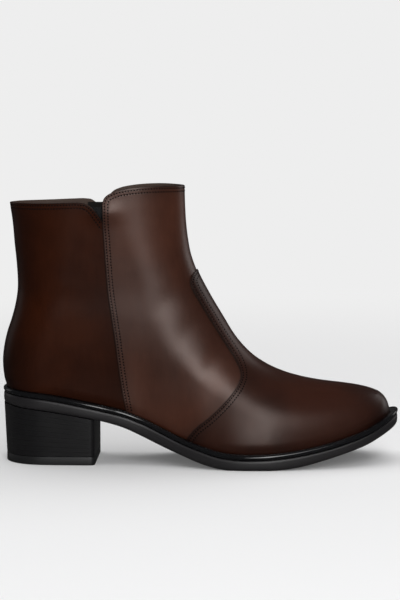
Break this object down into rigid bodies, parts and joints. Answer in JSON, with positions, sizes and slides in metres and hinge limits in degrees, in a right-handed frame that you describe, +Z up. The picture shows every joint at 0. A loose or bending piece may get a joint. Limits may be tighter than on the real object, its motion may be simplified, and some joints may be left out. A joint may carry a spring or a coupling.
{
  "type": "zip ankle boot",
  "caption": "Right ankle boot with a stacked block heel, leather quarters and vamp, an elastic notch and a side zip with a hinged pull.",
  "frame": {"origin": "middle of the heel's underside, on the floor", "axes": "+X from heel to toe, +Y towards the medial side, where the zip is, +Z up"},
  "size_m": [0.2646, 0.0879, 0.1849],
  "materials": {
    "upper_leather": "burnished semi-gloss",
    "elastic": "ribbed elastic",
    "zip_tape": "woven tape",
    "zip_metal": "dark nickel",
    "insole_sock": "matt lining leather",
    "welt_rubber": "glossy rand",
    "outsole_rubber": "satin",
    "heel_stack": "satin, fine stacked lines",
    "top_lift_rubber": "matt"
  },
  "bodies": {
    "boot": {"upper": "upper_leather", "elastic_gore": "elastic", "zip": "zip_tape", "zip_slider": "zip_metal", "insole": "insole_sock", "welt": "welt_rubber", "outsole": "outsole_rubber", "heel_block": "heel_stack", "top_lift": "top_lift_rubber"},
    "zip_pull": {"zip_pull": "zip_metal"}
  },
  "joints": [
    {"name": "pull_hinge", "type": "hinge", "parent": "boot", "child": "zip_pull", "pos_m": [0.0342, 0.02952, 0.16294], "axis": [1, 0, 0], "range_deg": [0, 160]}
  ]
}
